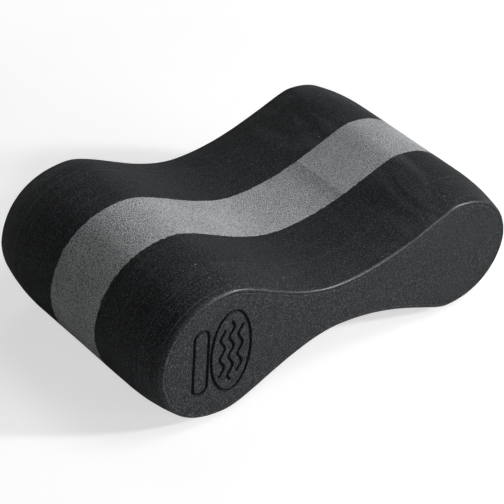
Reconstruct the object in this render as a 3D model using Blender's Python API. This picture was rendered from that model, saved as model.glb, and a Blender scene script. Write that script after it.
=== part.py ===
"""Pull buoy: a figure-eight swimming float laminated from flat sheets of closed-cell foam.

Two dark sheets are bonded on each side of a thicker grey core. The stack is cut to a waisted outline
with one larger and one smaller lobe. Towards its two end faces the body draws in to a crowned rim.
X runs along the outline, Y through the stack, and the float lies on both lobes at Z = 0.
"""

import math

import bmesh
import bpy
from mathutils import Matrix, Vector

# Driving dimensions, in metres
LENGTH = 0.240
BIG_LOBE_HEIGHT = 0.0834
SMALL_LOBE_HEIGHT = 0.0744
WAIST_HEIGHT = 0.0358
BIG_CREST_X = -0.0747
SMALL_CREST_X = 0.0778

# Lengths of the outline's curve handles, and the straight steps in each of its eight curves
BIG_HANDLES = {"waist": 0.0293, "crest_inner": 0.0183, "crest_outer": 0.0392, "end": 0.0096}
SMALL_HANDLES = {"waist": 0.0380, "crest_inner": 0.0114, "crest_outer": 0.0299, "end": 0.0153}
OUTLINE_STEPS = 10

# The laminate, from the emblem face at -Y to the plain face at +Y
SHEETS = (
    ("emblem_outer_sheet", 0.0210, "charcoal_foam"),
    ("emblem_inner_sheet", 0.0305, "charcoal_foam"),
    ("core_sheet", 0.0400, "grey_foam"),
    ("plain_inner_sheet", 0.0325, "charcoal_foam"),
    ("plain_outer_sheet", 0.0210, "charcoal_foam"),
)
BOND_FILMS = (
    "emblem_outer_bond_film",
    "emblem_core_bond_film",
    "plain_core_bond_film",
    "plain_outer_bond_film",
)
FILM_THICKNESS = 0.0003
CLEARANCE = 0.0001

# Each end's rim: how far the body draws in, over what depth, and the radius of its edge
CROWN_INSET = 0.0040
CROWN_DEPTH = 0.0320
CROWN_STEPS = 7
EDGE_RADIUS = 0.0020
EDGE_STEPS = 3

# The emblem pressed into the big lobe, in outline coordinates: an oval badge of waves and a capsule
BADGE_CENTRE = (-0.0722, 0.0)
BADGE_HALF_WIDTH = 0.0125
BADGE_HALF_HEIGHT = 0.0245
BADGE_POINTS = 40
WAVE_OFFSETS = (-0.0056, 0.0, 0.0056)
WAVE_HALF_LENGTHS = (0.0140, 0.0180, 0.0140)
WAVE_AMPLITUDE = 0.0014
WAVE_LENGTH = 0.0120
WAVE_POINTS_PER_METRE = 800
CAPSULE_CENTRE = (-0.0912, 0.0)
CAPSULE_HALF_LENGTH = 0.0150
CAPSULE_RADIUS = 0.0044
CAPSULE_ARC_STEPS = 8
GROOVE_RADIUS = 0.0007
GROOVE_SINK = 0.0004

# Colour, roughness and metallic value of each material
MATERIALS = {
    "charcoal_foam": ((0.022, 0.023, 0.025, 1.0), 0.85, 0.0),
    "grey_foam": ((0.235, 0.240, 0.250, 1.0), 0.88, 0.0),
    "bond_film": ((0.012, 0.012, 0.013, 1.0), 0.60, 0.0),
}

MERGE_DISTANCE = 0.00001
WIDTH = sum(thickness for _, thickness, _ in SHEETS)
TILT = math.atan2(BIG_LOBE_HEIGHT - SMALL_LOBE_HEIGHT, 2 * (SMALL_CREST_X - BIG_CREST_X))


def clear_scene():
    for obj in list(bpy.data.objects):
        bpy.data.objects.remove(obj, do_unlink=True)


def new_collection(name):
    collection = bpy.data.collections.new(name)
    bpy.context.scene.collection.children.link(collection)
    return collection


def new_material(name):
    color, roughness, metallic = MATERIALS[name]
    material = bpy.data.materials.new(name)
    material.use_nodes = True
    material.diffuse_color = color
    shader = material.node_tree.nodes["Principled BSDF"]
    shader.inputs["Base Color"].default_value = color
    shader.inputs["Roughness"].default_value = roughness
    shader.inputs["Metallic"].default_value = metallic
    return material


def add_object(name, data, collection):
    obj = bpy.data.objects.new(name, data)
    collection.objects.link(obj)
    return obj


def mesh_from_curve(name, curve):
    """A mesh of the curve's surface, with its loose caps welded on."""
    obj = add_object(name, curve, bpy.context.scene.collection)
    bpy.context.view_layer.update()
    graph = bpy.context.evaluated_depsgraph_get()
    mesh = bpy.data.meshes.new_from_object(obj.evaluated_get(graph))
    bpy.data.objects.remove(obj, do_unlink=True)
    bm = bmesh.new()
    bm.from_mesh(mesh)
    bmesh.ops.remove_doubles(bm, verts=bm.verts, dist=MERGE_DISTANCE)
    bmesh.ops.recalc_face_normals(bm, faces=bm.faces)
    bm.to_mesh(mesh)
    bm.free()
    return mesh


def outline_anchors():
    """The outline's eight anchors, clockwise from the top of the waist.

    Each is a place, the direction of travel, and the lengths of its back and front handles.
    """
    big, small = BIG_HANDLES, SMALL_HANDLES
    waist, big_top, small_top = WAIST_HEIGHT / 2, BIG_LOBE_HEIGHT / 2, SMALL_LOBE_HEIGHT / 2
    right, left, up, down = (1, 0), (-1, 0), (0, 1), (0, -1)
    return (
        ((0, waist), right, big["waist"], small["waist"]),
        ((SMALL_CREST_X, small_top), right, small["crest_inner"], small["crest_outer"]),
        ((LENGTH / 2, 0), down, small["end"], small["end"]),
        ((SMALL_CREST_X, -small_top), left, small["crest_outer"], small["crest_inner"]),
        ((0, -waist), left, small["waist"], big["waist"]),
        ((BIG_CREST_X, -big_top), left, big["crest_inner"], big["crest_outer"]),
        ((-LENGTH / 2, 0), up, big["end"], big["end"]),
        ((BIG_CREST_X, big_top), right, big["crest_outer"], big["crest_inner"]),
    )


def outline_prism(half_width):
    """The outline filled and extruded both ways, with the outline's plane turned upright."""
    curve = bpy.data.curves.new("outline", "CURVE")
    curve.dimensions = "2D"
    curve.fill_mode = "BOTH"
    curve.extrude = half_width
    curve.resolution_u = OUTLINE_STEPS
    anchors = outline_anchors()
    spline = curve.splines.new("BEZIER")
    spline.use_cyclic_u = True
    spline.bezier_points.add(len(anchors) - 1)
    for point, (place, direction, back, front) in zip(spline.bezier_points, anchors):
        place = Vector((*place, 0))
        direction = Vector((*direction, 0))
        point.handle_left_type = point.handle_right_type = "FREE"
        point.co = place
        point.handle_left = place - direction * back
        point.handle_right = place + direction * front
    mesh = mesh_from_curve("outline", curve)
    mesh.transform(Matrix.Rotation(math.radians(90), 4, "X"))
    return mesh


def rim_steps():
    """The rim as steps of (inward, outward) travel: the crown's parabola, then the edge's quarter circle."""
    depth = CROWN_DEPTH - EDGE_RADIUS
    crown = [(CROWN_INSET * t * t, depth * t) for t in (n / CROWN_STEPS for n in range(CROWN_STEPS + 1))]
    angles = [math.radians(90) * n / EDGE_STEPS for n in range(1, EDGE_STEPS + 1)]
    edge = [
        (CROWN_INSET + EDGE_RADIUS * (1 - math.cos(angle)), depth + EDGE_RADIUS * math.sin(angle))
        for angle in angles
    ]
    places = crown + edge
    return [(b[0] - a[0], b[1] - a[1]) for a, b in zip(places, places[1:])]


def float_body():
    """The whole float as one solid, before it is parted into its sheets."""
    mesh = outline_prism(WIDTH / 2 - CROWN_DEPTH)
    bm = bmesh.new()
    bm.from_mesh(mesh)
    for side in (-1, 1):
        cap = [face for face in bm.faces if face.normal.y * side > 0.9]
        face = bmesh.ops.dissolve_faces(bm, faces=cap)["region"][0]
        for inward, outward in rim_steps():
            bmesh.ops.inset_region(
                bm, faces=[face], thickness=inward, depth=outward, use_even_offset=True, use_boundary=True
            )
    bmesh.ops.recalc_face_normals(bm, faces=bm.faces)
    bm.to_mesh(mesh)
    bm.free()
    return mesh


def slice_of(body, name, low, high):
    """The part of the body between two planes across Y, capped flat."""
    bm = bmesh.new()
    bm.from_mesh(body)
    for place, normal in ((low, (0, -1, 0)), (high, (0, 1, 0))):
        if abs(place) > WIDTH / 2 - MERGE_DISTANCE:
            continue
        geometry = bm.verts[:] + bm.edges[:] + bm.faces[:]
        cut = bmesh.ops.bisect_plane(
            bm, geom=geometry, dist=MERGE_DISTANCE, plane_co=(0, place, 0), plane_no=normal, clear_outer=True
        )
        rim = [item for item in cut["geom_cut"] if isinstance(item, bmesh.types.BMEdge)]
        bmesh.ops.contextual_create(bm, geom=rim)
    bmesh.ops.recalc_face_normals(bm, faces=bm.faces)
    mesh = bpy.data.meshes.new(name)
    bm.to_mesh(mesh)
    bm.free()
    mesh.shade_smooth()
    mesh.set_sharp_from_angle(angle=math.radians(30))
    return mesh


def badge_path():
    x, z = BADGE_CENTRE
    turns = (math.tau * n / BADGE_POINTS for n in range(BADGE_POINTS))
    return [(x + BADGE_HALF_WIDTH * math.cos(t), z + BADGE_HALF_HEIGHT * math.sin(t)) for t in turns]


def capsule_path():
    x, z = CAPSULE_CENTRE
    path = []
    for side in (1, -1):
        for n in range(CAPSULE_ARC_STEPS + 1):
            angle = math.pi * n / CAPSULE_ARC_STEPS
            path.append((
                x + side * CAPSULE_RADIUS * math.cos(angle),
                z + side * (CAPSULE_HALF_LENGTH + CAPSULE_RADIUS * math.sin(angle)),
            ))
    return path


def wave_path(offset, half_length):
    x, z = BADGE_CENTRE
    count = round(2 * half_length * WAVE_POINTS_PER_METRE)
    places = (half_length * (2 * n / count - 1) for n in range(count + 1))
    return [(x + offset + WAVE_AMPLITUDE * math.sin(math.tau * p / WAVE_LENGTH), z + p) for p in places]


def groove_cutter(name, path, closed, collection):
    """A round rod along a path on the emblem face, sunk until it cuts the groove's depth."""
    curve = bpy.data.curves.new(name, "CURVE")
    curve.dimensions = "3D"
    curve.bevel_depth = GROOVE_RADIUS
    curve.bevel_resolution = 1
    curve.use_fill_caps = not closed
    spline = curve.splines.new("POLY")
    spline.use_cyclic_u = closed
    spline.points.add(len(path) - 1)
    for point, (x, z) in zip(spline.points, path):
        point.co = (x, GROOVE_SINK - WIDTH / 2, z, 1)
    cutter = add_object(name, mesh_from_curve(name, curve), collection)
    cutter.hide_render = True
    cutter.display_type = "WIRE"
    return cutter


def press_emblem(sheet, cutters):
    """Cuts the emblem's grooves, one Boolean for each."""
    paths = [("badge_cutter", badge_path(), True), ("capsule_cutter", capsule_path(), True)]
    for n, (offset, half_length) in enumerate(zip(WAVE_OFFSETS, WAVE_HALF_LENGTHS), start=1):
        paths.append((f"wave_cutter_{n}", wave_path(offset, half_length), False))
    for name, path, closed in paths:
        cutter = groove_cutter(name, path, closed, cutters)
        cutter.parent = sheet.parent
        groove = sheet.modifiers.new(name, "BOOLEAN")
        groove.operation = "DIFFERENCE"
        groove.object = cutter


def seat(body):
    """The empty that carries the float: it levels both lobes and centres the float over the origin."""
    level = Matrix.Rotation(TILT, 4, "Y")
    places = [level @ vertex.co for vertex in body.vertices]
    across = [place.x for place in places]
    frame = bpy.data.objects.new("pull_buoy_frame", None)
    frame.rotation_euler = (0, TILT, 0)
    frame.location = (-(min(across) + max(across)) / 2, 0, -min(place.z for place in places))
    return frame


def build():
    clear_scene()
    parts = new_collection("pull_buoy")
    cutters = new_collection("cutters")
    materials = {name: new_material(name) for name in MATERIALS}
    body = float_body()
    frame = seat(body)
    parts.objects.link(frame)

    half_seam = FILM_THICKNESS / 2 + CLEARANCE
    low = -WIDTH / 2
    for n, (name, thickness, material) in enumerate(SHEETS):
        high = low + thickness
        start = low + (half_seam if n > 0 else 0)
        end = high - (half_seam if n < len(BOND_FILMS) else 0)
        sheet = add_object(name, slice_of(body, name, start, end), parts)
        sheet.data.materials.append(materials[material])
        sheet.parent = frame
        if n == 0:
            press_emblem(sheet, cutters)
        if n < len(BOND_FILMS):
            film_name = BOND_FILMS[n]
            film_mesh = slice_of(body, film_name, high - FILM_THICKNESS / 2, high + FILM_THICKNESS / 2)
            film = add_object(film_name, film_mesh, parts)
            film.data.materials.append(materials["bond_film"])
            film.parent = frame
        low = high


build()
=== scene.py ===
"""The looks of the pull buoy: five sheets of closed-cell foam and their bond films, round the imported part.

Outline coordinates run along the float (u), through the stack (y) and up (w), with the outline's
centre at zero. SEAT turns them into the part's own frame, in metres.
"""

import math

import bpy
import numpy as np
from mathutils import Matrix, Vector, geometry, kdtree


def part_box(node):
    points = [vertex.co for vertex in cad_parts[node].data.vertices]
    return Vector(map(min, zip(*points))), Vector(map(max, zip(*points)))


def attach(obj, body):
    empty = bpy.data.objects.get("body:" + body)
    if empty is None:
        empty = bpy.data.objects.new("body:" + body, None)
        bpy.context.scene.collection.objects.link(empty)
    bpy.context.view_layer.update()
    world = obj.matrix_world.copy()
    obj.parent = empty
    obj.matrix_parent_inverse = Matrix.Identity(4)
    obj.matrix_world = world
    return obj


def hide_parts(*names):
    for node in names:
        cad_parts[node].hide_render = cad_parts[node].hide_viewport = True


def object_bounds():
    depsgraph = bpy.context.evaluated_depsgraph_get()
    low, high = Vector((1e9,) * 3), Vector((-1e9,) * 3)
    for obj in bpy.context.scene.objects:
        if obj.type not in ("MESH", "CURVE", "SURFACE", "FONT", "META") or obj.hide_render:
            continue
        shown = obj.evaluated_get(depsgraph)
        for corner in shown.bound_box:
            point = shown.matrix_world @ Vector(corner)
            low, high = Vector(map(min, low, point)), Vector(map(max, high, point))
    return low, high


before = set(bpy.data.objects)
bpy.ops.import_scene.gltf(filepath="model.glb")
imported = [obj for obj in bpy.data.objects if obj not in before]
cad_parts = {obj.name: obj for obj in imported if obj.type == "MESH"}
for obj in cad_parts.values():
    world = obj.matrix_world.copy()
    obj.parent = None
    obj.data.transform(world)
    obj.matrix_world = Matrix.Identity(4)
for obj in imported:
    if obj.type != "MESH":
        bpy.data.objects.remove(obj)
cad_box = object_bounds()

MM = 0.001

# The outline, as the part has it
LENGTH = 240 * MM
BIG_LOBE_HEIGHT = 83.4 * MM
SMALL_LOBE_HEIGHT = 74.4 * MM
WAIST_HEIGHT = 35.8 * MM
BIG_CREST = -74.7 * MM
SMALL_CREST = 77.8 * MM
BIG_HANDLES = {"waist": 29.3 * MM, "crest_inner": 18.3 * MM, "crest_outer": 39.2 * MM, "end": 9.6 * MM}
SMALL_HANDLES = {"waist": 38.0 * MM, "crest_inner": 11.4 * MM, "crest_outer": 29.9 * MM, "end": 15.3 * MM}
TILT = math.atan2(BIG_LOBE_HEIGHT - SMALL_LOBE_HEIGHT, 2 * (SMALL_CREST - BIG_CREST))

# How finely the outline and other curves are drawn, and from what angle in degrees a mesh edge is sharp
OUTLINE_POINTS = 800
CURVE_STEPS = 400
SHARP_ANGLE = 40

# Both end faces' rims: a long crown, a rounded edge and a shallow line pressed just inside it
CROWN_INSET = 4.0 * MM
CROWN_DEPTH = 32.0 * MM
CROWN_RUN = 30.5 * MM
EDGE_STEPS = 10
PRESS_LINE_START = 0.3 * MM
PRESS_LINE_WIDTH = 1.1 * MM
PRESS_LINE_DEPTH = 0.24 * MM
PRESS_LINE_STEPS = 6

# The end faces' meshes: two rings, then staggered rows, their pitch and clearance counted in spacings
FACE_RINGS = (2.2 * MM, 3.4 * MM)
FACE_SPACING = 2.2 * MM
ROW_PITCH = 0.87
EDGE_CLEARANCE = 0.6
GROOVE_CLEARANCE = 1 / 3
LEAST_SPACING = 0.12 * MM
MERGE_DISTANCE = 1e-7

# The glossy rim's strength: over the rounded edge's middle, at its start and inside it, and how far
# it fades over the wall
RIM_FULL = 1.0
RIM_START = 0.6
RIM_INSIDE = 0.4
RIM_FADE = 1.5 * MM

# The sheets' cut edges: rounded, swaying in long and short waves, and nicked. A nick is a random number
# held within a limit and spread to its neighbour, and nicks fade from the big lobe's end to the small one's
STATION_SPACING = 1.6 * MM
SEAM_ROUND = 0.14 * MM
SEAM_STEPS = (0, 0.12, 0.4, 1.0, 2.5)
SEAM_SWAY = 0.16 * MM
SWAY_WAVES = ((2, 9, 0.5), (20, 60, 0.3))
SWAY_WAVES_EACH = 5
SWAY_LEVEL = 2.2
SEAM_NICKS = 0.21 * MM
NICK_LIMIT = 1.8
NICK_SPREAD = 0.6
NICK_LEVEL = 1.17
NICKS_AT_ENDS = (1.0, 0.35)
SEAM_SEED = 100
SEAM_REACH = 3.0 * MM
FILM_RECESS = 0.05 * MM
FILM_EDGE_RECESS = 0.08 * MM
BACK_STEP = 1.5 * MM

# The unevenness of the sheets' surfaces, each kind made of a few waves near one length
SWELL = 0.10 * MM
SWELL_LENGTH = 45 * MM
SWELL_SEED = 7
FACE_SWELL = 0.05 * MM
FACE_SWELL_SEED = 31
RIPPLE = 0.025 * MM
RIPPLE_LENGTH = 9 * MM
RIPPLE_SEED = 8
UNEVEN_WAVES = 7
UNEVEN_LENGTHS = (0.7, 1.5)

# The emblem pressed into the big lobe: an oval badge of upright waves, each by its place and half its
# length, and a capsule. A groove's lanes and the reach of its painted shade are counted in half widths
BADGE_CENTRE = -72.2 * MM
BADGE_HALF_WIDTH = 12.5 * MM
BADGE_HALF_HEIGHT = 24.5 * MM
BADGE_WAVES = ((-5.6 * MM, 14.0 * MM), (0.0, 18.0 * MM), (5.6 * MM, 14.0 * MM))
WAVE_AMPLITUDE = 1.4 * MM
WAVE_LENGTH = 12.0 * MM
CAPSULE_CENTRE = -91.2 * MM
CAPSULE_HALF_LENGTH = 15.0 * MM
CAPSULE_RADIUS = 4.4 * MM
GROOVE_HALF_WIDTH = 0.85 * MM
GROOVE_DEPTH = 1.25 * MM
GROOVE_SQUARENESS = 0.4
GROOVE_LANES = (0.0, 0.3, 0.55, 0.78, 0.93, 1.05, 1.3, 1.8, 2.6)
GROOVE_STEP = 0.32 * MM
GROOVE_SHADE_REACH = 1.35
SHOULDER_DROP = 0.07 * MM
SHOULDER_REACH = 1.3 * MM

# The foams' patterns. A noise is a scale, a detail, a roughness and sometimes a distortion, and a range
# is the part of a pattern that is used. The two grains' scales are counted in cells, each foam has its
# own fleck scale, and the contrast falls from the big lobe's end to the small one's
PEBBLE_RANGE = (0.15, 0.75)
FINE_GRAIN = (1.9, 2.0, 0.6)
COARSE_GRAIN = (1.5, 1.0, 0.5)
GRAIN_RANGE = (0.3, 0.7)
MOTTLE = (55.0, 4.0, 0.55)
BROAD_MOTTLE = (14.0, 2.0, 0.5)
FLECK_SHAPE = (0.0, 0.5)
FLECK_RANGE = (0.59, 0.70)
CONTRAST_AT_ENDS = (1.0, 0.55)
SEAM_WEAR_POWER = 2.0

# How much each pattern lifts the foam's surface, and changes its tone
PEBBLE_HEIGHT = 0.45
FINE_HEIGHT = 0.30
COARSE_HEIGHT = 0.55
STREAK_HEIGHT = 0.20
MIDDLE_HEIGHT = 0.62
MOTTLE_TONE = 0.30
BROAD_TONE = 0.25
# Painted shade that darkens the emblem's grooves
GROOVE_PAINTED_SHADE = 0.85

# How rough each pattern makes the foam, and the smooth, glossy rim
FINE_ROUGHNESS = 0.12
BROAD_ROUGHNESS = 0.10
GROOVE_ROUGHNESS = 0.5
PRESSED_RANGE = (0.62, 0.82)
PRESSED_ROUGHNESS = 0.24
PRESSED_RELIEF = 0.06

# Dust specks: how many cells to a metre, how rare they are, and from solid to nothing across one
DUST_SCALE = 130.0
DUST_RARITY = 0.93
DUST_RANGE = (0.035, 0.06)

# The height over the floor at which marks on the upper walls begin and are at their full strength
UPPER_WALL = (40 * MM, 60 * MM)

# Smudges rubbed on the small lobe's top. They grow to their full strength between two places along X
SMUDGE_SCALE = (75.0, 22.0, 75.0)
SMUDGE_NOISE = (1.0, 4.0, 0.6, 0.8)
SMUDGE_RANGE = (0.48, 0.66)
SMUDGE_PLACES = (20 * MM, 70 * MM)

# Cutting streaks round the walls. They grow from the first to the second level between two depths inside
# the end faces, and fade from the first to the second level between two places along X
STREAK_SCALE = (9.0, 9.0, 760.0)
STREAK_NOISE = (1.0, 3.0, 0.65)
STREAK_RANGE = (0.48, 0.64)
STREAK_DEPTHS = (24 * MM, 3 * MM)
STREAK_DEPTH_LEVELS = (0.35, 1.0)
STREAK_PLACES = (-95 * MM, -55 * MM)
STREAK_PLACE_LEVELS = (1.0, 0.15)

# Painted shade across the core sheet's upper wall, on the small lobe's slope, like the shade of a soft
# crease
PAINTED_SHADE_PLACE = 42 * MM
PAINTED_SHADE_WIDTH = 12 * MM
PAINTED_SHADE_EDGE = 1 * MM

# The bond films' dark, dried glue
BOND_NOISE = (700.0, 3.0, 0.6)
BOND_DARK = (0.006, 0.006, 0.007, 1)
BOND_LIGHT = (0.026, 0.026, 0.028, 1)
BOND_ROUGHNESS = 0.45
BOND_ROUGHNESS_SPAN = 0.3
BOND_RELIEF = 0.1 * MM
BOND_BUMP = 0.4

# The camera, looking down at the emblem face from beside the big lobe. Angles are in degrees
VIEW_AZIMUTH = -39.096
VIEW_ELEVATION = 35.533
VIEW_ROLL = 2.018
VIEW_DISTANCE = 1263.3 * MM
VIEW_SHIFT_RIGHT = -1.8 * MM
VIEW_SHIFT_UP = -7.3 * MM
LENS = 167.65
SENSOR = 36.0
FARTHEST_SEEN = 50

# The studio: each light's name, azimuth, elevation, power and size. Most stand in front and to the right
LIGHT_DISTANCE = 2.2
SOFT_BOX = 0.9
SMALL_BOX = 0.22
LIGHTS = (
    ("front", 25, 8, 20, SOFT_BOX),
    ("front_right", 50, 8, 4, SOFT_BOX),
    ("front_right_high", 50, 55, 13, SOFT_BOX),
    ("right", 100, 8, 3, SOFT_BOX),
    ("back_right", 130, 30, 2.5, SOFT_BOX),
    ("back_high", 155, 55, 2, SOFT_BOX),
    ("back", 178, 5, 4, SOFT_BOX),
    ("left_fill", -45, 30, 6, SOFT_BOX),
    ("key", 45, 23, 36, SMALL_BOX),
)
WORLD_STRENGTH = 0.01
WHITE = (1, 1, 1, 1)

# The floor, which glows a little more with distance so that it meets the white background
FLOOR_REACH = 6.0
FLOOR_GAP = 0.05 * MM
FLOOR_NOISE = (6.0, 2.0, 0.5)
FLOOR_DARK = (0.56, 0.56, 0.56, 1)
FLOOR_LIGHT = (0.59, 0.59, 0.59, 1)
FLOOR_ROUGHNESS = 0.9
FLOOR_GLOW = 0.60
FLOOR_FADE = (0.30, 1.20)


# ---- The outline ----

def outline_curves():
    """The outline's eight curves, clockwise from the top of the waist, each as its four control points."""
    big, small = BIG_HANDLES, SMALL_HANDLES
    waist, big_top, small_top = WAIST_HEIGHT / 2, BIG_LOBE_HEIGHT / 2, SMALL_LOBE_HEIGHT / 2
    right, left, up, down = (1, 0), (-1, 0), (0, 1), (0, -1)
    anchors = (
        ((0, waist), right, big["waist"], small["waist"]),
        ((SMALL_CREST, small_top), right, small["crest_inner"], small["crest_outer"]),
        ((LENGTH / 2, 0), down, small["end"], small["end"]),
        ((SMALL_CREST, -small_top), left, small["crest_outer"], small["crest_inner"]),
        ((0, -waist), left, small["waist"], big["waist"]),
        ((BIG_CREST, -big_top), left, big["crest_inner"], big["crest_outer"]),
        ((-LENGTH / 2, 0), up, big["end"], big["end"]),
        ((BIG_CREST, big_top), right, big["crest_outer"], big["crest_inner"]),
    )
    for here, there in zip(anchors, anchors[1:] + anchors[:1]):
        start, end = np.array(here[0], float), np.array(there[0], float)
        yield start, start + np.array(here[1]) * here[3], end - np.array(there[1]) * there[2], end


def outline(count):
    """Evenly spaced places round the outline, the outward direction at each, and the whole girth."""
    t = np.linspace(0, 1, CURVE_STEPS, endpoint=False)[:, None]
    places, travels = [], []
    for a, b, c, d in outline_curves():
        places.append(a * (1 - t) ** 3 + 3 * b * t * (1 - t) ** 2 + 3 * c * t * t * (1 - t) + d * t ** 3)
        travels.append((b - a) * (1 - t) ** 2 + 2 * (c - b) * t * (1 - t) + (d - c) * t * t)
    places, travels = np.vstack(places), np.vstack(travels)
    closed = np.vstack([places, places[:1]])
    run = np.concatenate([[0], np.cumsum(np.linalg.norm(np.diff(closed, axis=0), axis=1))])
    wanted = np.linspace(0, run[-1], count, endpoint=False)
    at = np.stack([np.interp(wanted, run, closed[:, k]) for k in (0, 1)], axis=1)
    travels = np.vstack([travels, travels[:1]])
    along = np.stack([np.interp(wanted, run, travels[:, k]) for k in (0, 1)], axis=1)
    along /= np.linalg.norm(along, axis=1, keepdims=True)
    outward = np.stack([-along[:, 1], along[:, 0]], axis=1)
    return at, outward, run[-1]


PLACES, OUTWARD, GIRTH = outline(OUTLINE_POINTS)
TURN = np.linspace(0, math.tau, OUTLINE_POINTS, endpoint=False)


def seat_matrix():
    """From outline coordinates to the part's frame: tilted level, centred on its box and down on Z = 0."""
    tilt = np.array([[math.cos(TILT), math.sin(TILT)], [-math.sin(TILT), math.cos(TILT)]])
    turned = PLACES @ tilt.T
    low, high = cad_box
    shift_x = (low.x + high.x) / 2 - (turned[:, 0].min() + turned[:, 0].max()) / 2
    shift_z = low.z - turned[:, 1].min()
    return Matrix.Translation((shift_x, 0, shift_z)) @ Matrix.Rotation(TILT, 4, "Y")


SEAT = seat_matrix()
HALF_WIDTH = (cad_box[1].y - cad_box[0].y) / 2


# ---- Surfaces ----

def uneven(places, length, seed):
    """A smooth wandering value from about -1 to 1 at each place, with features of about this length."""
    rng = np.random.default_rng(seed)
    total = np.zeros(len(places))
    for _ in range(UNEVEN_WAVES):
        way = rng.normal(size=places.shape[1])
        way *= math.tau / (length * rng.uniform(*UNEVEN_LENGTHS)) / np.linalg.norm(way)
        total += np.sin(places @ way + rng.uniform(0, math.tau))
    return total / math.sqrt(UNEVEN_WAVES)


def seam_sway(seam):
    """How far a seam wanders through the stack at each place round the outline."""
    rng = np.random.default_rng(SEAM_SEED + seam)
    total = np.zeros(OUTLINE_POINTS)
    for low, high, share in SWAY_WAVES:
        for _ in range(SWAY_WAVES_EACH):
            wave = np.sin(TURN * rng.integers(low, high) + rng.uniform(0, math.tau))
            total += share * wave / SWAY_LEVEL
    nicks = np.clip(rng.normal(size=OUTLINE_POINTS), -NICK_LIMIT, NICK_LIMIT)
    nicks = (nicks + NICK_SPREAD * np.roll(nicks, 1)) / NICK_LEVEL
    roughness = np.interp(PLACES[:, 0], (-LENGTH / 2, LENGTH / 2), NICKS_AT_ENDS)
    return total * SEAM_SWAY + nicks * roughness * SEAM_NICKS


EDGE_SLOPE = math.atan(2 * CROWN_INSET / CROWN_RUN)
EDGE_RADIUS = (CROWN_DEPTH - CROWN_RUN) / (1 - math.sin(EDGE_SLOPE))
EDGE_INSET = CROWN_INSET + EDGE_RADIUS * math.cos(EDGE_SLOPE)


def crown_inset(y):
    """How far the wall has drawn in at a place through the stack, up to where the edge begins to round."""
    t = max(0.0, abs(y) - (HALF_WIDTH - CROWN_DEPTH)) / CROWN_RUN
    return CROWN_INSET * min(t, 1.0) ** 2


def edge_rings():
    """The rounded edge and the pressed line, as (inset, distance inside the end face)."""
    rings = []
    for n in range(EDGE_STEPS + 1):
        angle = EDGE_SLOPE + (math.pi / 2 - EDGE_SLOPE) * n / EDGE_STEPS
        inset = CROWN_INSET + EDGE_RADIUS * (math.cos(EDGE_SLOPE) - math.cos(angle))
        rings.append((inset, EDGE_RADIUS * (1 - math.sin(angle))))
    for n in range(PRESS_LINE_STEPS + 1):
        t = n / PRESS_LINE_STEPS
        inset = EDGE_INSET + PRESS_LINE_START + PRESS_LINE_WIDTH * t
        rings.append((inset, PRESS_LINE_DEPTH * math.sin(math.pi * t) ** 2))
    return rings


def wall_stations(low, high):
    """Places through the stack across a sheet's wall, closer together beside its seams."""
    near = [SEAM_ROUND * part for part in SEAM_STEPS] + [MM]
    start = [low + d for d in near]
    if low < -HALF_WIDTH + MM:
        start = [low + CROWN_DEPTH - CROWN_RUN]
    end = [high - d for d in reversed(near)]
    if high > HALF_WIDTH - MM:
        end = [high - CROWN_DEPTH + CROWN_RUN]
    count = max(2, round((end[0] - start[-1]) / STATION_SPACING))
    between = np.linspace(start[-1], end[0], count + 1)[1:-1]
    return [*start, *between, *end]


def ring(inset, y, sway=0.0):
    """One loop of vertices, this far in from the outline and at this place through the stack."""
    places = PLACES - OUTWARD * np.reshape(inset, (-1, 1))
    across = np.full(OUTLINE_POINTS, float(y)) + sway
    return np.stack([places[:, 0], across, places[:, 1]], axis=1)


class Skin:
    """Vertices, faces and per-vertex values of a piece, gathered before its mesh is made."""

    def __init__(self):
        self.points, self.faces = [], []
        self.rim, self.face, self.seam, self.groove = [], [], [], []
        self.count = 0

    def add(self, points, rim=0.0, face=0.0, seam=0.0, groove=0.0):
        """Adds vertices, each value one number or one for each vertex. Returns the first one's index."""
        first = self.count
        self.points.append(points)
        given = ((self.rim, rim), (self.face, face), (self.seam, seam), (self.groove, groove))
        for values, value in given:
            values.append(np.full(len(points), float(value)) if np.isscalar(value) else value)
        self.count += len(points)
        return first

    def bridge(self, first, second):
        """Quads between two rings of OUTLINE_POINTS vertices each."""
        near = np.arange(OUTLINE_POINTS)
        after = (near + 1) % OUTLINE_POINTS
        quads = np.stack([first + near, second + near, second + after, first + after], axis=1)
        self.faces.extend(quads.tolist())

    def mesh(self, name):
        """The finished mesh in the part's frame, with its values as point attributes."""
        points = np.vstack(self.points)
        mesh = bpy.data.meshes.new(name)
        mesh.from_pydata(points.tolist(), [], self.faces)
        turn = np.arctan2(points[:, 2], points[:, 0])
        run = np.stack([np.cos(turn), np.sin(turn)], axis=1) * GIRTH / math.tau
        run = np.column_stack([run, points[:, 1]]).astype(np.float32)
        mesh.attributes.new("run", "FLOAT_VECTOR", "POINT").data.foreach_set("vector", run.ravel())
        kept = (("rim", self.rim), ("face", self.face), ("seam", self.seam), ("groove", self.groove))
        for label, values in kept:
            data = np.concatenate(values).astype(np.float32)
            mesh.attributes.new(label, "FLOAT", "POINT").data.foreach_set("value", data)
        mesh.transform(SEAT)
        mesh.validate()
        mesh.update()
        mesh.shade_smooth()
        mesh.set_sharp_from_angle(angle=math.radians(SHARP_ANGLE))
        return mesh


# ---- The emblem ----

def evenly(path, step, closed):
    """The path as places about one step apart."""
    if closed:
        path = np.vstack([path, path[:1]])
    run = np.concatenate([[0], np.cumsum(np.linalg.norm(np.diff(path, axis=0), axis=1))])
    count = round(run[-1] / step)
    if closed:
        wanted = np.linspace(0, run[-1], count, endpoint=False)
    else:
        wanted = np.linspace(0, run[-1], count + 1)
    return np.stack([np.interp(wanted, run, path[:, k]) for k in (0, 1)], axis=1)


def badge_path():
    t = np.linspace(0, math.tau, CURVE_STEPS, endpoint=False)
    u = BADGE_CENTRE + BADGE_HALF_WIDTH * np.cos(t)
    return np.stack([u, BADGE_HALF_HEIGHT * np.sin(t)], axis=1)


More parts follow.
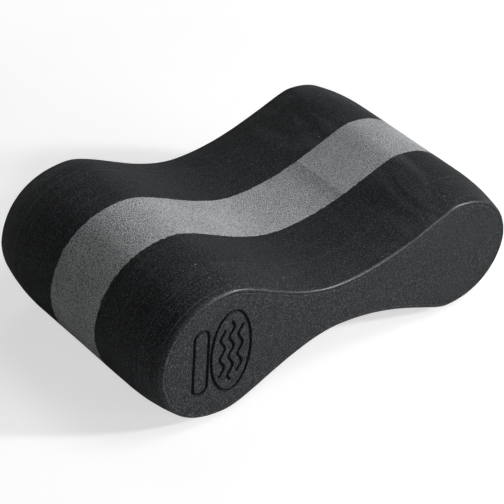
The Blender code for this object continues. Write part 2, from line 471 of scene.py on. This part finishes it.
def capsule_path():
    t = np.linspace(0, math.pi, CURVE_STEPS)
    ends = []
    for side in (1, -1):
        u = CAPSULE_CENTRE + side * CAPSULE_RADIUS * np.cos(t)
        ends.append(np.stack([u, side * (CAPSULE_HALF_LENGTH + CAPSULE_RADIUS * np.sin(t))], axis=1))
    return np.vstack(ends)


def wave_path(offset, half_length):
    w = np.linspace(-half_length, half_length, CURVE_STEPS)
    u = BADGE_CENTRE + offset + WAVE_AMPLITUDE * np.sin(math.tau * w / WAVE_LENGTH)
    return np.stack([u, w], axis=1)


def groove_paths():
    """Each groove's centreline, and whether it closes on itself."""
    yield badge_path(), True
    yield capsule_path(), True
    for offset, half_length in BADGE_WAVES:
        yield wave_path(offset, half_length), False


def groove_lane(path, closed, offset):
    """Places along both sides of a groove at this distance from its centreline, round its ends too."""
    if offset == 0:
        return path
    if closed:
        travel = np.roll(path, -1, axis=0) - np.roll(path, 1, axis=0)
    else:
        travel = np.gradient(path, axis=0)
    travel /= np.linalg.norm(travel, axis=1, keepdims=True)
    side = np.stack([-travel[:, 1], travel[:, 0]], axis=1)
    lanes = [path + side * offset, path - side * offset]
    if not closed:
        steps = max(2, round(math.pi * offset / GROOVE_STEP))
        for end, sign in ((0, -1), (-1, 1)):
            for n in range(1, steps):
                angle = math.pi * n / steps
                out = side[end] * math.cos(angle) + travel[end] * sign * math.sin(angle)
                lanes.append((path[end] + out * offset)[None])
    return np.vstack(lanes)


def emblem_points():
    """Mesh places along the grooves, and a tree to measure distance from their centrelines."""
    lanes, centres = [], []
    for path, closed in groove_paths():
        coarse = evenly(path, GROOVE_STEP, closed)
        lanes += [groove_lane(coarse, closed, GROOVE_HALF_WIDTH * lane) for lane in GROOVE_LANES]
        centres.append(evenly(path, GROOVE_STEP / 4, closed))
    centres = np.vstack(centres)
    tree = kdtree.KDTree(len(centres))
    for n, (u, w) in enumerate(centres):
        tree.insert((u, w, 0), n)
    tree.balance()
    return np.vstack(lanes), tree


def groove_depth(distance):
    """How deep the emblem's surface lies at this distance from a groove's centreline."""
    inside = np.clip(1 - (distance / GROOVE_HALF_WIDTH) ** 2, 0, 1) ** GROOVE_SQUARENESS
    shoulder = SHOULDER_DROP * np.exp(-np.maximum(distance - GROOVE_HALF_WIDTH, 0) / SHOULDER_REACH)
    return GROOVE_DEPTH * inside + shoulder


# ---- The end faces ----

def apart(points, spacing):
    """The places with those closer together than the spacing thinned out, the earlier ones kept."""
    taken, kept = set(), []
    for n, cell in enumerate(np.floor(points / spacing).astype(int)):
        key = (int(cell[0]), int(cell[1]))
        if key not in taken:
            taken.add(key)
            kept.append(n)
    return points[kept]


def face_grid(boundary, tree):
    """Places over an end face, in staggered rows that stay clear of its edge and of any groove."""
    edge = kdtree.KDTree(len(boundary))
    for n, (u, w) in enumerate(boundary):
        edge.insert((u, w, 0), n)
    edge.balance()
    kept = []
    low, high = boundary.min(axis=0), boundary.max(axis=0)
    clear = GROOVE_HALF_WIDTH * GROOVE_LANES[-1] + FACE_SPACING * GROOVE_CLEARANCE
    for row, w in enumerate(np.arange(low[1], high[1], FACE_SPACING * ROW_PITCH)):
        for u in np.arange(low[0] + (row % 2) * FACE_SPACING / 2, high[0], FACE_SPACING):
            _, nearest, distance = edge.find((u, w, 0))
            inside = np.dot(boundary[nearest] - (u, w), OUTWARD[nearest]) > 0
            if not inside or distance < FACE_SPACING * EDGE_CLEARANCE:
                continue
            if tree is not None and tree.find((u, w, 0))[2] < clear:
                continue
            kept.append((u, w))
    return np.array(kept)


def cap_face(skin, side, outer_ring, has_emblem):
    """Closes an end with a fine surface whose outer edge is the ring that starts at outer_ring."""
    boundary = PLACES - OUTWARD * (EDGE_INSET + PRESS_LINE_START + PRESS_LINE_WIDTH)
    lanes, tree = emblem_points() if has_emblem else (np.zeros((0, 2)), None)
    inner = [boundary - OUTWARD * inset for inset in FACE_RINGS]
    inner = np.vstack([loop[n % 2::2] for n, loop in enumerate(inner)])
    grid = face_grid(PLACES - OUTWARD * (EDGE_INSET + FACE_RINGS[-1] + PRESS_LINE_WIDTH), tree)
    extra = apart(np.vstack([lanes, inner, grid]), LEAST_SPACING)
    flat = np.vstack([boundary, extra])
    loop = list(range(OUTLINE_POINTS))
    made = geometry.delaunay_2d_cdt([Vector(p) for p in flat], [], [loop], 1, MERGE_DISTANCE)
    vertices, _, triangles, origins, _, _ = made
    places = np.array([v[:] for v in vertices])
    groove = np.zeros(len(places))
    depth = np.zeros(len(places))
    if tree is not None:
        distance = np.array([tree.find((u, w, 0))[2] for u, w in places])
        depth = groove_depth(distance)
        # The groove value carries the grooves' painted shade and their roughness
        groove = np.clip(GROOVE_SHADE_REACH - distance / GROOVE_HALF_WIDTH, 0, 1)
    depth = depth - FACE_SWELL * uneven(places, SWELL_LENGTH, FACE_SWELL_SEED + side)
    margin = {v for v, sources in enumerate(origins) if any(s < OUTLINE_POINTS for s in sources)}
    new = [v for v in range(len(places)) if v not in margin]
    points = np.stack([places[new, 0], side * (HALF_WIDTH - depth[new]), places[new, 1]], axis=1)
    first = skin.add(points, face=1.0, groove=groove[new])
    index = {v: first + n for n, v in enumerate(new)}
    for v in margin:
        index[v] = outer_ring + min(s for s in origins[v] if s < OUTLINE_POINTS)
    for triangle in triangles:
        turned = triangle if side < 0 else list(reversed(triangle))
        skin.faces.append([index[v] for v in turned])


# ---- The pieces ----

def swell(points):
    """How far the wall stands off its true surface at each vertex."""
    swells = SWELL * uneven(points, SWELL_LENGTH, SWELL_SEED)
    ripples = RIPPLE * uneven(points, RIPPLE_LENGTH, RIPPLE_SEED)
    return swells + ripples - SWELL


def sheet_mesh(name, seam_low, seam_high):
    """One sheet: its wall from seam to seam or out to an end face, and both its faces."""
    low_corner, high_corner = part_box(name)
    low, high = low_corner.y, high_corner.y
    skin = Skin()
    rings = []
    at_low_end, at_high_end = seam_low is None, seam_high is None
    sway_low = 0 if at_low_end else seam_sway(seam_low)
    sway_high = 0 if at_high_end else seam_sway(seam_high)

    def add_ring(inset, y, rim=0.0, face=0.0):
        from_low, from_high = y - low, high - y
        sway, seam, dip = 0.0, 0.0, 0.0
        sides = ((from_low, sway_low, at_low_end), (from_high, sway_high, at_high_end))
        for here, moves, at_end in sides:
            if at_end:
                continue
            sway = sway + moves * max(0.0, 1 - here / SEAM_REACH)
            seam = max(seam, math.exp(-here / MM))
            inside = max(0.0, SEAM_ROUND - here)
            dip += SEAM_ROUND - math.sqrt(max(0.0, SEAM_ROUND ** 2 - inside ** 2))
        points = ring(inset + dip, y, sway)
        if face < 1:
            lift = swell(points) * (1 - face)
            points[:, [0, 2]] += OUTWARD * lift[:, None]
        rings.append(skin.add(points, rim=rim, face=face, seam=seam))

    edge = list(enumerate(edge_rings()))
    if at_low_end:
        for n, (inset, depth) in reversed(edge):
            add_ring(inset, -HALF_WIDTH + depth, *edge_values(n))
    stations = wall_stations(low, high)
    if at_low_end:
        stations = stations[1:]
    if at_high_end:
        stations = stations[:-1]
    for y in stations:
        near_end = math.exp(-(HALF_WIDTH - CROWN_DEPTH + CROWN_RUN - abs(y)) / RIM_FADE)
        add_ring(crown_inset(y), y, rim=RIM_START * min(1.0, near_end))
    if at_high_end:
        for n, (inset, depth) in edge:
            add_ring(inset, HALF_WIDTH - depth, *edge_values(n))
    for first, second in zip(rings, rings[1:]):
        skin.bridge(first, second)

    if at_low_end:
        cap_face(skin, -1, rings[0], has_emblem=True)
    else:
        back = skin.add(ring(crown_inset(low) + BACK_STEP, low), seam=1.0)
        skin.bridge(back, rings[0])
        skin.faces.append(list(range(back, back + OUTLINE_POINTS)))
    if at_high_end:
        cap_face(skin, 1, rings[-1], has_emblem=False)
    else:
        back = skin.add(ring(crown_inset(high) + BACK_STEP, high), seam=1.0)
        skin.bridge(rings[-1], back)
        skin.faces.append(list(reversed(range(back, back + OUTLINE_POINTS))))
    return skin.mesh(name + "_foam")


def edge_values(n):
    """The rim and face values of an edge ring, counted from the wall inwards."""
    t = min(1.0, n / EDGE_STEPS)
    if n > EDGE_STEPS:
        return RIM_INSIDE, t * t
    return RIM_START + (RIM_FULL - RIM_START) * math.sin(math.pi * t), t * t


def film_mesh(name, seam):
    """One bond film, a thin layer just below the walls of the sheets that it joins."""
    low_corner, high_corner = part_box(name)
    low, high = low_corner.y, high_corner.y
    sway = seam_sway(seam)
    skin = Skin()
    rings = []
    middle = (low + high) / 2
    for y, recess in ((low, FILM_EDGE_RECESS), (middle, FILM_RECESS), (high, FILM_EDGE_RECESS)):
        points = ring(crown_inset(y) + SEAM_ROUND + recess, y, sway)
        points[:, [0, 2]] += OUTWARD * swell(points)[:, None]
        rings.append(skin.add(points, seam=1.0))
    back_low = skin.add(ring(crown_inset(low) + BACK_STEP, low), seam=1.0)
    back_high = skin.add(ring(crown_inset(high) + BACK_STEP, high), seam=1.0)
    loops = [back_low, *rings, back_high]
    for first, second in zip(loops, loops[1:]):
        skin.bridge(first, second)
    skin.faces.append(list(range(back_low, back_low + OUTLINE_POINTS)))
    skin.faces.append(list(reversed(range(back_high, back_high + OUTLINE_POINTS))))
    return skin.mesh(name + "_layer")


# ---- Materials ----

def node(tree, kind, inputs=None, **settings):
    """A node with its settings, and its inputs set to values or linked from sockets."""
    made = tree.nodes.new(kind)
    for key, value in settings.items():
        setattr(made, key, value)
    for key, value in (inputs or {}).items():
        if isinstance(value, bpy.types.NodeSocket):
            tree.links.new(value, made.inputs[key])
        else:
            made.inputs[key].default_value = value
    return made


def math_node(tree, operation, first, second=0.0, third=0.0, clamp=False):
    inputs = {0: first, 1: second, 2: third}
    return node(tree, "ShaderNodeMath", inputs, operation=operation, use_clamp=clamp).outputs[0]


def product(tree, first, *others):
    """All the values multiplied together."""
    for other in others:
        first = math_node(tree, "MULTIPLY", first, other)
    return first


def with_part(tree, base, value, share, clamp=False):
    """The base with this share of a value added to it."""
    return math_node(tree, "MULTIPLY_ADD", value, share, base, clamp)


def noise(tree, where, scale, detail, roughness, distortion=0.0):
    inputs = {"Vector": where, "Scale": scale, "Detail": detail, "Roughness": roughness,
              "Distortion": distortion}
    return node(tree, "ShaderNodeTexNoise", inputs).outputs["Fac"]


def scaled_noise(tree, where, scale, settings):
    """A noise stretched differently along each axis."""
    scaled = node(tree, "ShaderNodeMapping", {"Vector": where, "Scale": scale}).outputs[0]
    return noise(tree, scaled, *settings)


def voronoi(tree, where, scale):
    inputs = {"Vector": where, "Scale": scale, "Randomness": 1.0}
    return node(tree, "ShaderNodeTexVoronoi", inputs).outputs


def stretch(tree, value, low, high, to_low=0.0, to_high=1.0):
    """The value with its range from low to high stretched to another, and held there."""
    inputs = {"Value": value, 1: low, 2: high, 3: to_low, 4: to_high}
    return node(tree, "ShaderNodeMapRange", inputs, clamp=True).outputs[0]


def blend(tree, share, first, second):
    """Two colours mixed, with this share of the second."""
    ends = {0: share, 6: first, 7: second}
    return node(tree, "ShaderNodeMix", ends, data_type="RGBA").outputs[2]


def attribute(tree, name, output="Fac"):
    return node(tree, "ShaderNodeAttribute", attribute_name=name).outputs[output]


def new_material(name):
    """A material, its node tree, its shader and the place on the piece."""
    material = bpy.data.materials.new(name)
    material.use_nodes = True
    tree = material.node_tree
    place = node(tree, "ShaderNodeTexCoord").outputs["Object"]
    return material, tree, tree.nodes["Principled BSDF"], place


def finish_surface(tree, shader, color, rough, height, strength, distance):
    """Links a colour, a roughness and a bump of this height to the shader."""
    inputs = {"Strength": strength, "Distance": distance, "Height": height}
    bump = node(tree, "ShaderNodeBump", inputs)
    tree.links.new(color, shader.inputs["Base Color"])
    tree.links.new(rough, shader.inputs["Roughness"])
    tree.links.new(bump.outputs[0], shader.inputs["Normal"])


def smudge_mask(tree, place, along, wall):
    """Where the small lobe's top is rubbed."""
    patches = stretch(tree, scaled_noise(tree, place, SMUDGE_SCALE, SMUDGE_NOISE), *SMUDGE_RANGE)
    on_lobe = stretch(tree, along["X"], *SMUDGE_PLACES)
    on_top = stretch(tree, along["Z"], *UPPER_WALL)
    return product(tree, patches, on_lobe, on_top, wall)


def streak_mask(tree, along, wall):
    """Where cutting left its streaks round the walls."""
    run = attribute(tree, "run", "Vector")
    streaks = stretch(tree, scaled_noise(tree, run, STREAK_SCALE, STREAK_NOISE), *STREAK_RANGE)
    across = node(tree, "ShaderNodeSeparateXYZ", {"Vector": run}).outputs["Z"]
    from_middle = math_node(tree, "ABSOLUTE", across)
    start, full = (HALF_WIDTH - depth for depth in STREAK_DEPTHS)
    near_face = stretch(tree, from_middle, start, full, *STREAK_DEPTH_LEVELS)
    near_end = stretch(tree, along["X"], *STREAK_PLACES, *STREAK_PLACE_LEVELS)
    return product(tree, streaks, wall, near_face, near_end)


def painted_shade_mask(tree, along):
    """Painted shade like a crease's on the upper wall: it comes on slowly along X, is darkest at one place
    and ends at once beyond it.
    """
    before = stretch(tree, along["X"], PAINTED_SHADE_PLACE - PAINTED_SHADE_WIDTH, PAINTED_SHADE_PLACE)
    beyond = stretch(tree, along["X"], PAINTED_SHADE_PLACE, PAINTED_SHADE_PLACE + PAINTED_SHADE_EDGE, 1.0, 0.0)
    on_top = stretch(tree, along["Z"], *UPPER_WALL)
    return product(tree, before, beyond, on_top)


def dust_mask(tree, place):
    """A few small round specks."""
    dust = voronoi(tree, place, DUST_SCALE)
    chance = node(tree, "ShaderNodeSeparateColor", {"Color": dust["Color"]}).outputs[0]
    chosen = math_node(tree, "GREATER_THAN", chance, DUST_RARITY)
    return product(tree, stretch(tree, dust["Distance"], *DUST_RANGE, 1.0, 0.0), chosen)


def grain_pattern(tree, place, cell_scale, scale, detail, roughness):
    """A foam's grain, its scale counted in cells."""
    return stretch(tree, noise(tree, place, scale * cell_scale, detail, roughness), *GRAIN_RANGE)


def foam_material(name, dark, light, speck, grain_and_pit_shade, fleck, fleck_scale, relief, cell_scale,
                  streaks, scuffs, painted_shade, wear, gloss, specular):
    """Closed-cell foam: a fine pebbled skin, mottled and flecked, with its marks and its glossy rim, and
    painted shade in its pits, in the emblem's grooves and across a crease.
    """
    material, tree, shader, place = new_material(name)
    along = node(tree, "ShaderNodeSeparateXYZ", {"Vector": place}).outputs
    wall = math_node(tree, "SUBTRACT", 1.0, attribute(tree, "face"))
    rim = attribute(tree, "rim")
    groove = attribute(tree, "groove")
    lines = streak_mask(tree, along, wall)

    cells = voronoi(tree, place, cell_scale)
    pebble = stretch(tree, cells["Distance"], *PEBBLE_RANGE, 1.0, 0.0)
    fine = grain_pattern(tree, place, cell_scale, *FINE_GRAIN)
    coarse = grain_pattern(tree, place, cell_scale, *COARSE_GRAIN)
    mottle = noise(tree, place, *MOTTLE)
    broad = noise(tree, place, *BROAD_MOTTLE)
    contrast = stretch(tree, along["X"], -LENGTH / 2, LENGTH / 2, *CONTRAST_AT_ENDS)

    height = with_part(tree, product(tree, fine, FINE_HEIGHT), pebble, PEBBLE_HEIGHT)
    height = with_part(tree, height, coarse, COARSE_HEIGHT)
    # The grain's tone follows its relief: painted shade in the low pits and painted light on the high tips
    tone = product(tree, math_node(tree, "SUBTRACT", height, MIDDLE_HEIGHT), grain_and_pit_shade, contrast)
    # Painted shade across the small lobe's slope darkens the tone
    tone = with_part(tree, tone, painted_shade_mask(tree, along), -painted_shade)
    tone = with_part(tree, tone, math_node(tree, "SUBTRACT", mottle, 0.5), MOTTLE_TONE)
    tone = with_part(tree, tone, math_node(tree, "SUBTRACT", broad, 0.5), BROAD_TONE)
    tone = with_part(tree, tone, rim, wear)
    base = blend(tree, math_node(tree, "ADD", tone, 0.5, clamp=True), dark, light)

    flecks = stretch(tree, noise(tree, place, fleck_scale, *FLECK_SHAPE), *FLECK_RANGE)
    marks = product(tree, flecks, fleck, contrast)
    marks = with_part(tree, marks, smudge_mask(tree, place, along, wall), scuffs)
    marks = with_part(tree, marks, lines, streaks)
    edge = math_node(tree, "POWER", attribute(tree, "seam"), SEAM_WEAR_POWER)
    marks = with_part(tree, marks, edge, wear)
    color = blend(tree, marks, base, speck)
    color = blend(tree, dust_mask(tree, place), color, speck)
    # Painted shade in the emblem's grooves, mixed towards the foam's darkest colour
    color = blend(tree, product(tree, groove, GROOVE_PAINTED_SHADE), color, dark)

    pressed = stretch(tree, rim, *PRESSED_RANGE)
    rough = math_node(tree, "MULTIPLY_ADD", fine, FINE_ROUGHNESS, gloss)
    rough = with_part(tree, rough, broad, BROAD_ROUGHNESS)
    rough = with_part(tree, rough, pressed, PRESSED_ROUGHNESS - gloss)
    rough = with_part(tree, rough, groove, GROOVE_ROUGHNESS, clamp=True)
    height = with_part(tree, height, lines, STREAK_HEIGHT)
    height = product(tree, height, stretch(tree, pressed, 0.0, 1.0, 1.0, PRESSED_RELIEF))
    finish_surface(tree, shader, color, rough, height, strength=1.0, distance=relief)
    shader.inputs["Specular IOR Level"].default_value = specular
    return material


def bond_material():
    """The thin dried glue between two sheets."""
    material, tree, shader, place = new_material("bond_film_skin")
    level = noise(tree, place, *BOND_NOISE)
    color = blend(tree, level, BOND_DARK, BOND_LIGHT)
    rough = math_node(tree, "MULTIPLY_ADD", level, BOND_ROUGHNESS_SPAN, BOND_ROUGHNESS)
    finish_surface(tree, shader, color, rough, level, strength=BOND_BUMP, distance=BOND_RELIEF)
    return material


# ---- The stage ----

def add_object(name, data):
    made = bpy.data.objects.new(name, data)
    bpy.context.scene.collection.objects.link(made)
    return made


def add_floor():
    """A plain pale floor just below the float, which the camera sees as glowing a little."""
    mesh = bpy.data.meshes.new("floor")
    corners = [(x * FLOOR_REACH, y * FLOOR_REACH, 0) for x, y in ((-1, -1), (1, -1), (1, 1), (-1, 1))]
    mesh.from_pydata(corners, [], [(0, 1, 2, 3)])
    floor = add_object("floor", mesh)
    floor.location.z = cad_box[0].z - FLOOR_GAP
    material, tree, shader, place = new_material("floor")
    color = blend(tree, noise(tree, place, *FLOOR_NOISE), FLOOR_DARK, FLOOR_LIGHT)
    tree.links.new(color, shader.inputs["Base Color"])
    shader.inputs["Roughness"].default_value = FLOOR_ROUGHNESS
    shader.inputs["Specular IOR Level"].default_value = 0.0
    shader.inputs["Emission Color"].default_value = WHITE
    seen = node(tree, "ShaderNodeLightPath").outputs["Is Camera Ray"]
    away = node(tree, "ShaderNodeVectorMath", {0: place}, operation="LENGTH").outputs["Value"]
    glow = stretch(tree, away, *FLOOR_FADE, FLOOR_GLOW, 1.0)
    tree.links.new(product(tree, seen, glow), shader.inputs["Emission Strength"])
    mesh.materials.append(material)


def direction_at(azimuth, elevation):
    """The way out from the float. Azimuth 0 is in front of the emblem face, and 90 is at +X."""
    turn, rise = math.radians(azimuth), math.radians(elevation)
    return Vector((math.sin(turn) * math.cos(rise), -math.cos(turn) * math.cos(rise), math.sin(rise)))


def add_light(name, azimuth, elevation, power, size):
    """A square light that faces the float."""
    data = bpy.data.lights.new(name, "AREA")
    data.shape = "SQUARE"
    data.size = size
    data.energy = power
    light = add_object(name, data)
    towards = direction_at(azimuth, elevation)
    light.location = Vector((0, 0, (cad_box[0].z + cad_box[1].z) / 2)) + towards * LIGHT_DISTANCE
    light.rotation_euler = towards.to_track_quat("Z", "Y").to_euler()


def add_world(strength):
    """A faint white light from all round, and pure white where the camera sees it directly."""
    world = bpy.data.worlds.new("studio")
    bpy.context.scene.world = world
    world.use_nodes = True
    tree = world.node_tree
    background = tree.nodes["Background"]
    background.inputs["Color"].default_value = WHITE
    seen = node(tree, "ShaderNodeLightPath").outputs["Is Camera Ray"]
    level = math_node(tree, "MULTIPLY_ADD", seen, 1 - strength, strength)
    tree.links.new(level, background.inputs["Strength"])


def add_camera():
    azimuth, roll = math.radians(VIEW_AZIMUTH), math.radians(VIEW_ROLL)
    level_right = Vector((math.cos(azimuth), math.sin(azimuth), 0))
    back = direction_at(VIEW_AZIMUTH, VIEW_ELEVATION)
    level_up = back.cross(level_right)
    right = level_right * math.cos(roll) + level_up * math.sin(roll)
    up = level_up * math.cos(roll) - level_right * math.sin(roll)
    centre = Vector((0, 0, SEAT.translation.z))
    camera = add_object("camera", bpy.data.cameras.new("camera"))
    camera.data.lens = LENS
    camera.data.sensor_width = SENSOR
    camera.data.clip_end = FARTHEST_SEEN
    place = centre + back * VIEW_DISTANCE + right * VIEW_SHIFT_RIGHT + up * VIEW_SHIFT_UP
    turn = Matrix((right, up, back)).transposed().to_4x4()
    camera.matrix_world = Matrix.Translation(place) @ turn
    bpy.context.scene.camera = camera


# ---- Build ----

def add_piece(node_name, mesh, material):
    piece = add_object(mesh.name, mesh)
    mesh.materials.append(material)
    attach(piece, "root")
    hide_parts(node_name)
    return piece


charcoal = foam_material("charcoal_foam_skin", dark=(0.0, 0.0, 0.0, 1), light=(0.0115, 0.0138, 0.0160, 1),
                         speck=(0.265, 0.295, 0.325, 1), grain_and_pit_shade=1.1, fleck=0.28, fleck_scale=1720.0,
                         relief=0.22 * MM, cell_scale=1350.0, streaks=0.13, scuffs=0.11, painted_shade=0.0,
                         wear=0.02, gloss=0.50, specular=0.33)
# Only the grey foam carries the painted shade on the small lobe's slope
grey = foam_material("grey_foam_skin", dark=(0.13, 0.136, 0.140, 1), light=(0.68, 0.697, 0.706, 1),
                     speck=(0.06, 0.063, 0.066, 1), grain_and_pit_shade=1.0, fleck=0.85, fleck_scale=1430.0,
                     relief=0.36 * MM, cell_scale=1200.0, streaks=0.06, scuffs=0.0, painted_shade=0.22,
                     wear=0.0, gloss=0.60, specular=0.3)
film = bond_material()

SHEETS = (
    ("emblem_outer_sheet", None, 0, "charcoal_foam", charcoal),
    ("emblem_inner_sheet", 0, 1, "charcoal_foam", charcoal),
    ("core_sheet", 1, 2, "grey_foam", grey),
    ("plain_inner_sheet", 2, 3, "charcoal_foam", charcoal),
    ("plain_outer_sheet", 3, None, "charcoal_foam", charcoal),
)
FILMS = (
    "emblem_outer_bond_film",
    "emblem_core_bond_film",
    "plain_core_bond_film",
    "plain_outer_bond_film",
)

for node_name, seam_low, seam_high, slot, material in SHEETS:
    sheet = add_piece(node_name, sheet_mesh(node_name, seam_low, seam_high), material)
for seam, node_name in enumerate(FILMS):
    add_piece(node_name, film_mesh(node_name, seam), film)

add_floor()
add_world(WORLD_STRENGTH)
for light in LIGHTS:
    add_light(*light)
add_camera()
bpy.context.scene.view_settings.view_transform = "Standard"
